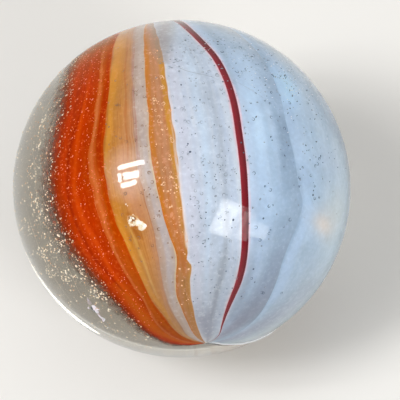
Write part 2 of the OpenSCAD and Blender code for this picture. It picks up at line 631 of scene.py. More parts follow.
class Tree:
    """Short forms for building a material's nodes."""

    def __init__(self, name):
        self.material = bpy.data.materials.new(name)
        self.material.use_nodes = True
        self.nodes = self.material.node_tree.nodes
        self.links = self.material.node_tree.links
        self.nodes.clear()
        self.output = self.nodes.new("ShaderNodeOutputMaterial")

    def node(self, kind, inputs=(), **settings):
        made = self.nodes.new("ShaderNode" + kind)
        for key, value in settings.items():
            setattr(made, key, value)
        for key, value in dict(inputs).items():
            self.feed(made.inputs[key], value)
        return made

    def feed(self, socket, value):
        if isinstance(value, bpy.types.NodeSocket):
            self.links.new(value, socket)
        else:
            socket.default_value = value

    def math(self, operation, a, b=0.0):
        return self.node("Math", {0: a, 1: b}, operation=operation).outputs[0]

    def times(self, a, b):
        return self.math("MULTIPLY", a, b)

    def plus(self, a, b):
        return self.math("ADD", a, b)

    def minus(self, a, b):
        return self.math("SUBTRACT", a, b)

    def scaled(self, value, low, high, to_low=0.0, to_high=1.0, smooth=True):
        inputs = {"Value": value, "From Min": low, "From Max": high, "To Min": to_low, "To Max": to_high}
        kind = "SMOOTHSTEP" if smooth else "LINEAR"
        return self.node("MapRange", inputs, interpolation_type=kind).outputs["Result"]

    def mixed(self, share, a, b, blend="MIX"):
        made = self.node("Mix", data_type="RGBA", blend_type=blend)
        self.feed(made.inputs[0], share)
        self.feed(made.inputs[6], a)
        self.feed(made.inputs[7], b)
        return made.outputs[2]

    def ramp(self, value, *stops):
        made = self.node("ValToRGB", {"Fac": value})
        ramp = made.color_ramp
        ramp.interpolation = "EASE"
        while len(ramp.elements) < len(stops):
            ramp.elements.new(0.5)
        for element, (place, colour) in zip(ramp.elements, stops):
            element.position = place
            element.color = colour
        return made.outputs["Color"]

    def curve(self, value, points):
        """A smooth curve of value through (x, y) points, all from 0 to 1."""
        made = self.node("FloatCurve", {"Value": value})
        line = made.mapping.curves[0]
        while len(line.points) < len(points):
            line.points.new(0.5, 0.5)
        for point, place in zip(line.points, sorted(points)):
            point.location = place
        made.mapping.update()
        return made.outputs[0]

    def pair(self, name):
        """The two numbers of a map."""
        split = self.node("SeparateXYZ", {0: self.node("UVMap", uv_map=name).outputs[0]})
        return split.outputs[0], split.outputs[1]

    def vector(self, x, y, z=0.0):
        return self.node("CombineXYZ", {0: x, 1: y, 2: z}).outputs[0]

    def place(self):
        return self.node("TexCoord").outputs["Object"]

    def number(self, name):
        """The number of this name that add_number has given each vertex."""
        return self.node("Attribute", attribute_name=name).outputs["Fac"]

    def noise(self, vector, scale=1.0, detail=3.0, roughness=0.5):
        inputs = {"Vector": vector, "Scale": scale, "Detail": detail, "Roughness": roughness}
        return self.node("TexNoise", inputs).outputs["Fac"]

    def patch(self, chart, longitude, polar, wide, tall, soft=1.0):
        """1 in the middle of an oval on the ball, falling to 0 at its rim."""
        x = self.math("DIVIDE", self.minus(chart[0], longitude / 100), wide / 100)
        y = self.math("DIVIDE", self.minus(chart[1], polar / 100), tall / 100)
        far = self.node("VectorMath", {0: self.vector(x, y)}, operation="LENGTH").outputs["Value"]
        return self.scaled(far, 1.0, 1.0 - soft)

    def streak(self, chart, wobble, points, left=1.0, right=1.0):
        """1 in the middle of a long streak, falling to 0 at its sides. points: (polar, longitude, half its
        width, strength). left and right: how soft each side is, from 0 to 1. The curves hold everything as
        shares: of 180 degrees, of 270 degrees from longitude -90, and of a half width of 30 degrees."""
        along = self.times(chart[1], 100 / 180)
        middle = self.curve(along, [(p / 180, (a + 90) / 270) for p, a, _, _ in points])
        half = self.curve(along, [(p / 180, w / 30) for p, _, w, _ in points])
        strength = self.curve(along, [(p / 180, s) for p, _, _, s in points])
        longitude = self.plus(self.times(chart[0], 100 / 270), 90 / 270)
        off = self.minus(self.plus(longitude, wobble), middle)
        x = self.math("DIVIDE", off, self.math("MAXIMUM", self.times(half, 30 / 270), 0.0002))
        sides = self.times(self.scaled(x, -1, left - 1), self.scaled(x, 1, 1 - right))
        return self.times(sides, strength)

    def finish(self, shader):
        self.links.new(shader, self.output.inputs["Surface"])
        return self.material


# The brightness of all the coloured glass, the size of its finest grain, and its refraction.
SHADE = 0.89
GRAIN = 5200
REFRACTION = 1.5
# The streak colour of the under faces, which are painted lighter as light that comes through the glass.
PAINTED_UNDER_LIGHT_STREAK = (196, 208, 222)


def ribbon_glass(name, stops, lines, tone, contrast, streaks=(), patches=(), alpha=None, milk=0.35,
                 mirror=0.5, front_shade=1.0, tint=(1, 1, 1), under=None, flecks=None):
    """Coloured glass drawn out in streaks along a ribbon. Colours are 0-255 screen values. stops: (share of
    the way across, colour). lines: how many fine lines lie across it, of colour tone and this much contrast.
    streaks: (colour, points, left, right), as for streak. patches: (longitude, polar, wide, tall, colour,
    strength). milk: how deep light goes into it, in mm. front_shade: how much of its brightness is left at
    the front mark, where it is darkened as painted shade. under: the colour of its under face, painted
    lighter as light that comes through the glass. flecks: (colour, share) of small specks all over it."""
    t = Tree(name)
    across, along = t.pair("ribbon")
    chart = t.pair("chart")
    flow = t.minus(t.noise(t.vector(t.times(across, 2.5), t.times(along, 11)), detail=2), 0.5)
    bent = t.plus(across, t.times(flow, 0.10))
    colour = t.ramp(bent, *((place, screen(*stop)) for place, stop in stops))
    fine = t.noise(t.vector(t.times(bent, lines), t.times(along, 5), 3), detail=4, roughness=0.62)
    colour = t.mixed(t.scaled(fine, 0.42, 0.74, 0, contrast), colour, screen(*tone))
    wobble = t.times(flow, 0.012)
    for streak_colour, points, *sides in streaks:
        colour = t.mixed(t.streak(chart, wobble, points, *sides), colour, screen(*streak_colour))
    for longitude, polar, wide, tall, patch_colour, share in patches:
        mask = t.times(t.patch(chart, longitude, polar, wide, tall), share)
        colour = t.mixed(mask, colour, screen(*patch_colour))
    if flecks is not None:
        speck = t.noise(t.place(), scale=GRAIN, detail=4, roughness=0.7)
        colour = t.mixed(t.scaled(speck, 0.53, 0.66, 0, flecks[1]), colour, screen(*flecks[0]))
    colour = t.mixed(1.0, colour, brightness(t, along, front_shade, tint), blend="MULTIPLY")
    # The under face is painted lighter, as light that comes through the glass.
    if under is not None:
        is_under = t.number("under")
        under = t.mixed(t.scaled(fine, 0.38, 0.62), screen(*under), screen(*PAINTED_UNDER_LIGHT_STREAK))
        colour = t.mixed(t.times(is_under, 0.6), colour, under)
    scar = t.number("scar")
    colour = t.mixed(scar, colour, frosted(t))
    ripple = t.noise(t.place(), scale=1500, detail=4)
    bumps = t.node("Bump", {"Strength": 0.05, "Distance": 0.02 * MM, "Height": ripple})
    inputs = {
        "Base Color": colour, "Roughness": t.scaled(scar, 0, 1, 0.035, 0.5), "IOR": REFRACTION,
        "Specular IOR Level": mirror, "Subsurface Weight": 1.0, "Subsurface Radius": (1.0, 1.0, 1.0),
        "Subsurface Scale": milk * MM, "Normal": bumps.outputs[0],
    }
    if alpha is not None:
        inputs["Alpha"] = alpha(t, across)
    return t.finish(t.node("BsdfPrincipled", inputs).outputs[0])


def brightness(t, along, front_shade, tint):
    """What a ribbon's colour is multiplied by: soft mist, fine grain, painted shade that darkens it towards
    the front mark, its tint.
    """
    cloud = t.noise(t.place(), scale=600, detail=5, roughness=0.6)
    mist = t.scaled(cloud, 0.33, 0.67, 0.92, 1.06, smooth=False)
    grain = t.scaled(t.noise(t.place(), scale=GRAIN, detail=2), 0.3, 0.7, 0.955, 1.04, smooth=False)
    # Painted shade: the ribbon's colour gets darker towards the front mark.
    light = t.times(t.times(mist, grain), t.scaled(along, 0.08, 0.32, SHADE * front_shade, SHADE))
    return t.node("CombineColor", {i: t.times(light, part) for i, part in enumerate(tint)}).outputs[0]


def frosted(t):
    """The crushed glass in a chip."""
    crumb = t.noise(t.place(), scale=3200, detail=2)
    return t.ramp(crumb, (0.34, screen(164, 108, 56)), (0.42, screen(214, 170, 112)),
                  (0.5, screen(240, 226, 202)), (0.66, screen(252, 246, 236)))


def clear_glass():
    """Clear glass, faintly smoky: a tint partly its own, partly painted shade. Rays to the lamps pass
    straight through, so that what is in it is lit.
    """
    t = Tree("clear_glass")
    waves = t.noise(t.place(), scale=900, detail=3)
    ripple = t.node("Bump", {"Strength": 0.03, "Distance": 0.02 * MM, "Height": waves})
    # The smoky tint of the base colour is partly the glass's own and partly painted shade.
    inputs = {
        "Base Color": screen(219, 214, 203), "Roughness": 0.0, "IOR": REFRACTION, "Transmission Weight": 1.0,
        "Normal": ripple.outputs[0],
    }
    glass = t.node("BsdfPrincipled", inputs)
    path = t.node("LightPath")
    through = t.node("BsdfTransparent", {"Color": screen(182, 179, 171)})
    both = t.node("MixShader", {0: path.outputs["Is Shadow Ray"], 1: glass.outputs[0], 2: through.outputs[0]})
    return t.finish(both.outputs[0])


def mark_glass(name, middle, rim, rough=0.3, silvered=0.0):
    """Glass of a small mark, with the colours of its middle and rim; on seeds, the lighter middle and darker
    rim
    are painted shading. silvered: how much it mirrors.
    """
    t = Tree(name)
    middle = screen(*middle)
    spread = t.noise(t.place(), scale=2200, detail=2)
    colour = t.ramp(t.number("shade"), (0.35, middle), (0.8, screen(*rim)))
    colour = t.mixed(t.scaled(spread, 0.4, 0.62, 0, 0.5), colour, middle)
    inputs = {"Base Color": colour, "Roughness": rough, "Metallic": silvered}
    return t.finish(t.node("BsdfPrincipled", inputs).outputs[0])


# ---------------------------------------------------------------- the ribbons

def feather(t, across):
    """Alpha of the vermilion's loose edge: it breaks up into specks over the clear glass, with a brown haze
    beyond them that is partly the red thinning out and partly painted shade. Its under face has no haze and
    ends sooner."""
    specks = t.minus(t.noise(t.place(), scale=3400, detail=4, roughness=0.75), 0.5)
    under = t.number("under")
    edge = t.plus(across, t.times(specks, 0.3))
    body = t.scaled(t.minus(edge, t.times(under, 0.2)), 0.2, 0.4, 0, 0.92)
    body = t.math("MAXIMUM", body, t.scaled(across, 0.38, 0.46))
    # The haze beyond the specks: partly the red thinning out, partly painted shade.
    haze_and_shade = t.scaled(t.plus(across, t.times(specks, 0.5)), 0.02, 0.36, 0, 0.6)
    return t.math("MAXIMUM", body, t.times(haze_and_shade, t.minus(1.0, under)))


# Colours and streaks that more than one ribbon has. Points are (polar, longitude, half the width, strength).
# Painted shade: the colour that darkens the white and opal ribbons towards the front mark.
PAINTED_FRONT_SHADE = (152, 154, 170)
# Painted shade: tan and brown colours that darken ribbons towards the back.
PAINTED_SHADE_TAN = (176, 170, 158)
PAINTED_SHADE_BROWN = (160, 94, 28)
# The colour of the under faces, painted lighter as light that comes through the glass.
PAINTED_UNDER_LIGHT = (252, 250, 246)
FOLD_CLOSED = ((182, 204, 225), [
    (82, 36.5, 6, 0), (90, 35.2, 7, 1), (110, 34, 8, 1), (130, 32, 9, 1), (155, 32, 12, 1), (180, 45, 25, 1),
])
# Painted shade of the fold in the opal: points of a darker blue-grey streak beside it.
PAINTED_FOLD_SHADE = [
    (0, 80, 28, 0.5), (15, 56, 24, 0.6), (25, 44, 17, 0.7), (32, 41.5, 11.5, 0.8), (40, 39.5, 7, 0.85),
    (50, 38.5, 7.5, 0.66), (60, 38.5, 7.5, 0.56), (66, 36.5, 6.3, 0.62), (72, 35, 5, 0.78),
    (80, 33.5, 4, 0.85), (87, 32.5, 3.6, 0.7), (93, 32.5, 3.4, 0.35), (103, 33, 3.6, 0.35),
    (112, 34, 4, 0.45), (122, 35, 4.5, 0.3), (135, 36, 5, 0),
]
# Where the fold fades, and the painted fold shade from there on.
FOLD_FADES_AT = 84
PAINTED_FOLD_SHADE_BEYOND = [point for point in PAINTED_FOLD_SHADE if point[0] >= FOLD_FADES_AT]
# Points of the painted shade towards the front mark.
PAINTED_FRONT_SHADE_POINTS = [
    (0, 60, 30, 0.9), (12, 50, 30, 0.85), (22, 50, 30, 0.65), (33, 50, 30, 0.4), (42, 50, 30, 0.26),
    (54, 50, 30, 0),
]
# Points of the painted shade that darkens the red ribbons towards the back.
PAINTED_BACK_SHADE_RED = [
    (106, -36, 30, 0), (118, -36, 30, 0.25), (128, -36, 30, 0.7), (135, -36, 30, 0.95), (143, -40, 30, 0.85),
    (160, -45, 30, 0),
]
# Points of the painted shade that darkens the veil towards the back.
PAINTED_BACK_SHADE_VEIL = [(108, 40, 30, 0), (122, 40, 30, 0.3), (140, 40, 30, 0.6), (180, 40, 30, 0.7)]

VERMILION = ribbon_glass(
    "vermilion_glass",
    [
        # The first, dark brown stops are the fringe's haze: partly the red thinning out, partly painted
        # shade.
        (0, (86, 58, 38)), (0.22, (92, 50, 26)), (0.36, (118, 46, 12)), (0.46, (164, 46, 0)),
        (0.6, (204, 58, 0)), (0.85, (200, 56, 0)), (1, (192, 62, 2)),
    ],
    22, (176, 38, 0), 0.5, alpha=feather, mirror=0.03, front_shade=0.72, tint=(0.85, 0.91, 1),
    flecks=((220, 92, 34), 0.55),
    streaks=[
        ((220, 106, 18), [(0, -82, 12, 0.9), (20, -58, 12, 0.85), (30, -49, 9, 0.75), (42, -46, 6, 0)]),
        ((152, 30, 2), [
            (36, -47, 1, 0), (45, -47, 1.4, 0.6), (60, -47, 1.6, 0.6), (80, -43, 1.5, 0.6),
            (100, -33.5, 1.3, 0.6), (118, -31, 1, 0),
        ]),
        ((158, 40, 2), [
            (84, -41.5, 2.4, 0), (92, -38.5, 2.6, 0.5), (102, -36, 2.8, 0.65), (114, -34.5, 2.8, 0.6),
            (126, -34, 2.6, 0),
        ]),
        ((226, 80, 6), [
            (30, -47, 1.5, 0.5), (50, -43.5, 1.8, 0.7), (70, -42.5, 1.8, 0.7), (90, -35.5, 1.6, 0.7),
            (110, -31, 1.4, 0.5), (130, -33, 1, 0),
        ]),
        (PAINTED_SHADE_BROWN, PAINTED_BACK_SHADE_RED),
    ],
)
SALMON = ribbon_glass(
    "salmon_glass", [(0, (198, 86, 22)), (0.5, (212, 112, 46)), (1, (198, 84, 18))],
    3, (212, 124, 70), 0.5, mirror=0.05, front_shade=0.66, tint=(0.94, 0.96, 1), flecks=((222, 138, 84), 0.4),
    streaks=[
        (PAINTED_SHADE_BROWN, PAINTED_BACK_SHADE_RED),
    ],
)
SCARLET = ribbon_glass(
    "scarlet_glass", [(0, (194, 86, 20)), (0.4, (196, 72, 0)), (0.85, (194, 70, 0)), (1, (204, 98, 18))],
    6, (172, 38, 0), 0.6, mirror=0.03, front_shade=0.66, tint=(0.9, 0.96, 1), flecks=((220, 106, 34), 0.5),
    streaks=[
        ((204, 98, 20), [(0, -70, 9, 0.9), (20, -45, 6, 0.8), (40, -35.5, 4, 0.6), (54, -33.5, 3, 0)]),
        ((176, 42, 5), [(74, -30, 1, 0), (82, -29.3, 1.6, 0.7), (100, -24.5, 1.5, 0.7), (125, -24, 1, 0)]),
        (PAINTED_SHADE_BROWN, PAINTED_BACK_SHADE_RED),
    ],
)
AMBER = ribbon_glass(
    "amber_glass",
    [
        (0, (200, 110, 30)), (0.1, (202, 130, 44)), (0.3, (202, 140, 60)), (0.55, (209, 146, 72)),
        (0.8, (208, 151, 94)), (0.94, (203, 155, 114)), (1, (192, 156, 136)),
    ],
    26, (180, 108, 40), 0.7, mirror=0.46, front_shade=0.66, tint=(0.93, 0.93, 0.95), flecks=((214, 160, 104), 0.3),
    streaks=[
        ((222, 154, 52), [
            (0, -58, 6, 0.6), (20, -36.5, 3, 0.6), (33, -33, 2.6, 0.8), (45, -30.3, 2.6, 0.9),
            (57, -29.6, 2.2, 0.8), (68, -28, 1.6, 0.3), (76, -27.4, 1.6, 0.4), (88, -24, 2.2, 0.9),
            (105, -21, 2.6, 0.9), (125, -20, 3, 0.8), (180, -36, 4, 0.7),
        ], 0.7, 1),
        ((230, 184, 100), [
            (28, -32.5, 0.8, 0), (34, -29.6, 1.3, 0.4), (42, -27.4, 1.6, 0.6), (50, -26.8, 1.4, 0.5),
            (57, -26.5, 1, 0),
        ]),
        ((208, 152, 116), [
            (56, -21, 3, 0), (64, -22, 5, 0.6), (74, -22.5, 5, 0.5), (84, -20, 3, 0.2), (92, -19, 3, 0),
        ]),
        ((206, 150, 108), [(22, -33, 2, 0.5), (35, -23.5, 2, 0.6), (48, -20, 2, 0.6), (58, -19.5, 2, 0)]),
        ((196, 120, 58), [
            (74, -20.5, 0.5, 0), (84, -18.9, 0.7, 0.7), (100, -17.5, 0.8, 0.7), (125, -17, 0.7, 0.4),
            (150, -19, 0.5, 0),
        ]),
        # Painted shade: golden-brown shading beside the chip.
        ((178, 104, 28), [
            (50, -24, 1, 0), (53, -24.4, 2.6, 0.75), (57, -25, 2.8, 0.7), (60.5, -25.5, 2, 0),
        ]),
    ],
)
ROSE_GREY = ribbon_glass(
    "rose_grey_glass",
    [
        (0, (192, 158, 136)), (0.25, (194, 170, 156)), (0.6, (198, 178, 168)), (0.88, (200, 180, 170)),
        (1, (214, 182, 148)),
    ],
    7, (208, 188, 174), 0.5, front_shade=0.75, tint=(0.97, 0.97, 0.95), flecks=((216, 206, 200), 0.4),
    streaks=[
        ((194, 184, 186), [
            (22, -27, 2.5, 0.3), (32, -20, 3, 0.6), (45, -14.6, 2.8, 0.95), (60, -14.6, 2, 0.7),
            (80, -14, 1.6, 0.4), (100, -12.5, 1.6, 0.2),
        ]),
        ((230, 204, 160), [
            (24, -20.4, 0.5, 0), (32, -17, 0.5, 0.8), (44, -11.9, 0.5, 0.9), (60, -13, 0.5, 0.8),
            (75, -12.6, 0.4, 0.4), (90, -11, 0.4, 0),
        ], 1, 0.6),
        ((184, 130, 120), [
            (70, -16.8, 0.4, 0), (80, -16, 0.5, 0.7), (105, -14.3, 0.5, 0.8), (130, -13.5, 0.4, 0.4),
            (150, -15, 0.4, 0),
        ]),
    ],
)
ORANGE = ribbon_glass(
    "orange_glass",
    [
        (0, (206, 120, 34)), (0.1, (206, 128, 50)), (0.3, (204, 144, 92)), (0.6, (206, 148, 104)),
        (0.85, (206, 150, 76)), (0.96, (210, 158, 84)), (1, (228, 196, 158)),
    ],
    8, (194, 118, 54), 0.6, mirror=0.46, front_shade=0.7, tint=(0.95, 0.95, 1), flecks=((226, 168, 128), 0.6),
    streaks=[
        ((196, 132, 44), [
            (0, -30, 9, 0.8), (18, -16, 6, 0.8), (26, -13.5, 5, 0.9), (34, -11, 4, 0.6), (40, -9, 3, 0),
        ]),
        ((150, 106, 48), [(20, -16, 0.5, 0), (24, -14, 0.7, 0.6), (30, -12, 0.7, 0.6), (35, -10, 0.5, 0)]),
        ((204, 122, 44), [(34, -10, 2, 0), (42, -8.8, 3.2, 0.75), (54, -9, 3, 0.7), (64, -9.5, 2, 0)]),
        ((210, 134, 38), [
            (56, -12.2, 1, 0), (66, -11.4, 1.3, 0.7), (80, -11, 1.3, 0.8), (100, -9.5, 1.3, 0.85),
            (125, -9.2, 1.5, 0.8), (180, -13, 1.6, 0.7),
        ], 0.8, 1),
        ((214, 152, 48), [
            (60, -5.6, 0.8, 0), (67, -5.2, 1, 0.6), (80, -4.9, 1.2, 0.9), (100, -4.6, 1.3, 0.9),
            (111, -4.5, 1.1, 0.8), (116, -5, 1, 0),
        ], 1, 0.5),
        ((240, 228, 216), [
            (38, -6.2, 0.6, 0), (44, -5.8, 0.8, 0.9), (56, -5.3, 0.9, 0.95), (66, -4.8, 0.7, 0.8),
            (80, -4, 0.4, 0.3), (90, -4, 0.4, 0),
        ], 1, 0.3),
        # Painted shade, darker and browner towards the back.
        ((172, 152, 134), [
            (108, -4, 2, 0), (114, -4.5, 3.4, 0.7), (135, -5, 4.4, 0.8), (180, -9, 6, 0.8),
        ], 1, 0.2),
    ],
)
WHITE = ribbon_glass(
    "white_glass",
    [
        (0, (222, 216, 222)), (0.06, (206, 210, 224)), (0.3, (203, 212, 228)), (0.6, (196, 208, 224)),
        (0.9, (199, 211, 229)), (0.955, (208, 216, 230)), (1, (240, 204, 214)),
    ],
    16, (220, 226, 236), 0.55, milk=1.5, front_shade=0.76, tint=(0.985, 0.99, 0.985), under=PAINTED_UNDER_LIGHT,
    flecks=((228, 234, 244), 0.3),
    streaks=[
        ((210, 213, 227), [
            (20, -6, 2, 0.3), (40, -2.4, 2.6, 0.7), (70, -1, 3, 0.7), (100, -1, 2.6, 0.7),
            (114, -1.5, 2, 0.1),
        ]),
        ((206, 222, 240), [
            (18, 0, 3, 0.3), (40, 3, 2.6, 0.6), (60, 5, 2.6, 0.8), (80, 5.5, 2.6, 0.85), (100, 5, 2.4, 0.7),
            (118, 4, 2.4, 0.3), (140, 3, 2, 0),
        ]),
        ((174, 182, 194), [
            (14, 6, 4, 0.4), (26, 9, 4, 0.85), (36, 11, 3.6, 0.9), (46, 12, 2.4, 0.6), (60, 11.5, 2, 0.45),
            (75, 11, 2.2, 0.45), (92, 10, 2, 0.25), (108, 8.5, 2, 0),
        ]),
        ((218, 226, 238), [
            (26, 19, 1, 0), (40, 19.3, 1.2, 0.6), (60, 16, 1.3, 0.7), (80, 14.5, 1.3, 0.7),
            (100, 13, 1.2, 0.5), (115, 10, 1, 0),
        ]),
        # Painted shade, darker towards the front mark.
        (PAINTED_FRONT_SHADE, PAINTED_FRONT_SHADE_POINTS),
        (PAINTED_FRONT_SHADE, [(0, 20, 29, 0.9), (12, 0, 29, 0.75), (20, 0, 29, 0.4), (30, 0, 29, 0)]),
        # Painted shade, darker and browner towards the back.
        ((164, 152, 144), [
            (107, -3, 2, 0), (114, -3, 5, 0.6), (124, -2.5, 7, 0.7), (137, 0, 8, 0.6), (180, 0, 12, 0.6),
        ]),
    ],
)
OXBLOOD = ribbon_glass(
    "oxblood_glass",
    [
        (0, (196, 112, 122)), (0.12, (148, 28, 44)), (0.5, (136, 20, 34)), (0.88, (100, 12, 30)),
        (1, (160, 92, 104)),
    ],
    4, (154, 34, 46), 0.5, mirror=0.4, front_shade=0.8,
    streaks=[
        # Painted shade, darker towards the back.
        ((104, 26, 28), [(108, 12, 3, 0), (124, 12, 3, 0.5), (140, 8, 4, 0.6), (180, 12, 6, 0.7)]),
    ],
)
VEIL = ribbon_glass(
    "veil_glass",
    [
        (0, (238, 208, 218)), (0.055, (198, 214, 232)), (0.2, (188, 209, 230)), (0.6, (182, 204, 224)),
        (1, (178, 200, 220)),
    ],
    9, (204, 220, 236), 0.45, milk=1.5, front_shade=0.78, tint=(1, 1.02, 1.06), under=PAINTED_UNDER_LIGHT,
    flecks=((210, 224, 238), 0.12),
    streaks=[
        ((204, 226, 248), [
            (40, 29, 3, 0), (48, 28.5, 4, 0.1), (58, 28, 4, 0.2), (68, 25.5, 3.2, 0.45),
            (82, 24.5, 3.6, 0.85), (92, 24, 5, 0.9), (104, 25, 6, 0.8), (116, 24, 6, 0),
        ]),
        ((160, 172, 186), [(16, 30, 8, 0.5), (30, 28, 6, 0.6), (40, 26.5, 4, 0.35), (50, 26, 3, 0)]),
        ((158, 178, 196), [
            (92, 18.6, 1.2, 0), (100, 18.5, 1.6, 0.4), (120, 18, 3, 0.5), (150, 18, 4, 0.4),
        ]),
        FOLD_CLOSED,
        # Painted shade of the fold.
        ((155, 176, 196), PAINTED_FOLD_SHADE, 1, 0.3),
        # Painted shade, darker towards the front mark.
        (PAINTED_FRONT_SHADE, PAINTED_FRONT_SHADE_POINTS),
        (PAINTED_SHADE_TAN, PAINTED_BACK_SHADE_VEIL),
    ],
)
LENS = ribbon_glass(
    "lens_glass",
    [
        (0, (176, 197, 217)), (0.04, (184, 205, 225)), (0.15, (184, 202, 218)), (0.35, (184, 200, 211)),
        (0.6, (178, 194, 202)), (1, (184, 194, 198)),
    ],
    20, (206, 218, 228), 0.45, milk=1.5, mirror=0.4, front_shade=0.84, tint=(0.99, 1.045, 1.11), under=PAINTED_UNDER_LIGHT,
    flecks=((204, 218, 228), 0.2),
    streaks=[
        FOLD_CLOSED,
        # Painted shade of the fold, on the lens side from where the fold fades.
        ((152, 175, 196), [(FOLD_FADES_AT, 33, 3, 0), *PAINTED_FOLD_SHADE_BEYOND], 1, 0.8),
        # A soft painted shadow of the fold, just past its edge.
        ((158, 179, 200), [
            (24, 59, 4, 0), (32, 51.5, 3.4, 0.5), (40, 46.4, 2.8, 0.7), (50, 45.4, 2.6, 0.7),
            (60, 45.2, 2.2, 0.5), (68, 40.8, 1.8, 0.35), (80, 36.6, 1.6, 0),
        ]),
        ((192, 210, 230), [
            (26, 62, 8, 0.3), (34, 54, 7, 0.7), (42, 50, 6, 0.7), (56, 49, 5, 0.6), (66, 45, 5, 0.5),
            (80, 40, 5, 0.6), (90, 38, 5, 0.4), (100, 38, 5, 0),
        ], 0.6, 1),
        # Painted shade, darker towards the front mark.
        (PAINTED_FRONT_SHADE, [
            (0, 100, 30, 0.85), (12, 90, 30, 0.75), (22, 86, 30, 0.6), (32, 84, 30, 0.45),
            (42, 84, 30, 0.25), (52, 84, 28, 0),
        ]),
        # Painted shade, darker and browner towards the back.
        (PAINTED_SHADE_TAN, [(108, 60, 20, 0), (118, 60, 24, 0.3), (132, 60, 29, 0.6), (180, 70, 29, 0.7)]),
        # Painted shade along the right rim.
        ((158, 162, 160), [
            (56, 84, 4, 0), (70, 80, 5, 0.25), (82, 76, 6, 0.4), (94, 72, 8, 0.3), (106, 66, 8, 0),
        ]),
        ((116, 142, 164), [
            (72, 74, 8, 0), (84, 70, 15, 0.3), (96, 68, 21, 0.8), (106, 68, 22, 0.85), (118, 70, 20, 0.6),
            (136, 76, 16, 0.45), (160, 84, 16, 0.4), (180, 90, 18, 0.4),
        ]),
    ],
    patches=[
        (39.5, 101, 9, 14, (198, 226, 255), 1), (67, 62, 18, 15, (210, 213, 207), 0.65),
        # The two ovals at longitude 61 are a painted warm glow of light that comes through the glass.
        (61, 57.5, 17, 8, (222, 214, 208), 0.5), (61, 57.2, 11, 4.4, (234, 214, 196), 0.5),
        (56, 78, 12, 9, (196, 208, 222), 0.4),
    ],
)

RIBBONS = [
    (fringe_start, 20, VERMILION),
    (SALMON_START, 4, SALMON),
    (SALMON_END, 6, SCARLET),
    (AMBER_START, 66, AMBER),
    (ROSE_START, 8, ROSE_GREY),
    (STRIPE_START, 12, ORANGE),
    (WHITE_START, 20, WHITE),
    (thread_start, 6, OXBLOOD),
    (thread_end, 20, VEIL),
    (FOLD_EDGE, 50, LENS),
    OPAL_END,
]
ribbon_shell("coloured_ribbons", RIBBONS)

ball = clear_ball(clear_glass())
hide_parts("marble")


# ---------------------------------------------------------------- marks in and on the glass

PALE_SEED = mark_glass("pale_seed", (252, 244, 226), (226, 208, 180), silvered=0.6)
TAN_SEED = mark_glass("tan_seed", (240, 210, 172), (196, 156, 118), silvered=0.6)
RED_SEED = mark_glass("red_seed", (238, 116, 52), (214, 84, 26))
PINK_SEED = mark_glass("pink_seed", (232, 138, 100), (212, 104, 68))
AMBER_SEED = mark_glass("amber_seed", (244, 204, 160), (206, 140, 84))
BROWN_SEED = mark_glass("brown_seed", (140, 100, 68), (96, 64, 38))
GREY_SEED = mark_glass("grey_seed", (150, 160, 172), (98, 108, 122))
SLATE_SEED = mark_glass("slate_seed", (76, 90, 112), (62, 74, 94), rough=0.5)
SILVER = mark_glass("silver_seed", (236, 238, 242), (206, 210, 216))
LILAC = mark_glass("lilac_flake", (234, 226, 234), (206, 196, 206), rough=0.5)
CREAM = mark_glass("cream_crumb", (250, 240, 222), (232, 220, 190), rough=0.5)

# The borders that seeds lie between, and how many degrees beyond them some start or end.
RED_START = (CLEAR_END, 0)
BEFORE_RED = (CLEAR_END, -2)
RED_END = (SALMON_END, 0)
THREAD_START = (thread_start, 0)


def bed(name, glass, *where, **options):
    """Seeds scattered between two borders, as one piece."""
    seeds(name, scattered(*where, **options), glass)


def clump(name, glass, *where, **options):
    """Seeds clustered about some places, as one piece."""
    seeds(name, clustered(*where, **options), glass)


# bed: name, glass, how many, first and second border, range of polar angles, sizes in mm, height.
# clump: name, glass, how many, middles, reach in degrees, sizes in mm, height.
bed("seeds_by_the_red", TAN_SEED, 620, (CLEAR_END, -22), (CLEAR_END, 0.5), (20, 145), (0.014, 0.044), 0.6,
    stretch=1.3, lean=-0.5)
bed("deep_seeds", TAN_SEED, 260, (CLEAR_END, -50), BEFORE_RED, (16, 150), (0.014, 0.045), 1,
    depths=IN_GLASS, stretch=1.2, lean=-0.3)
bed("seeds_in_clear", PALE_SEED, 560, (CLEAR_END, -46), BEFORE_RED, (18, 150), (0.014, 0.05), 0.6,
    stretch=1.3, lean=-0.1)
CLOTS = [
    (-61, 75), (-61.6, 72), (-73.3, 73.6), (-64.9, 64.5), (-73.4, 64.2), (-68.3, 60.2), (-77.1, 59.2),
    (-69.9, 54), (-67.4, 51.8), (-60.2, 50.2), (-61, 42.6), (-64, 41.4), (-58.9, 63.2), (-62.3, 77.6),
    (-53.9, 75.4), (-54, 96), (-58, 88), (-52, 104), (-88, 33),
]
clump("clots_in_clear", PALE_SEED, 420, CLOTS, 1.7, (0.014, 0.052), 0.6)
bed("seeds_in_red", RED_SEED, 1000, RED_START, RED_END, (20, 140), (0.010, 0.032), 0.4, stretch=1.8)
bed("pale_seeds_in_red", AMBER_SEED, 120, RED_START, RED_END, (24, 140), (0.010, 0.03), 0.4,
    stretch=1.4, lean=0.8)
bed("flecks_in_red", PINK_SEED, 330, (CLEAR_END, 0.5), RED_END, (22, 140), (0.012, 0.036), 0.4,
    stretch=2.6, lean=0.3, turn=0.6)
bed("seeds_in_scarlet", RED_SEED, 200, (SALMON_START, 0), (AMBER_START, 0.5), (20, 140), (0.010, 0.032), 0.4,
    stretch=1.8)
bed("seeds_in_amber", BROWN_SEED, 60, (AMBER_START, 0), (ROSE_START, 0), (18, 140), (0.014, 0.034), 0.5)
bed("seeds_in_rose", BROWN_SEED, 90, (ROSE_START, 0), (STRIPE_START, 0), (18, 130), (0.014, 0.034), 0.5)
STRIPE_CLOTS = [(-8, 72), (-7.5, 66), (-8.5, 92), (-8, 63), (-8.5, 58)]
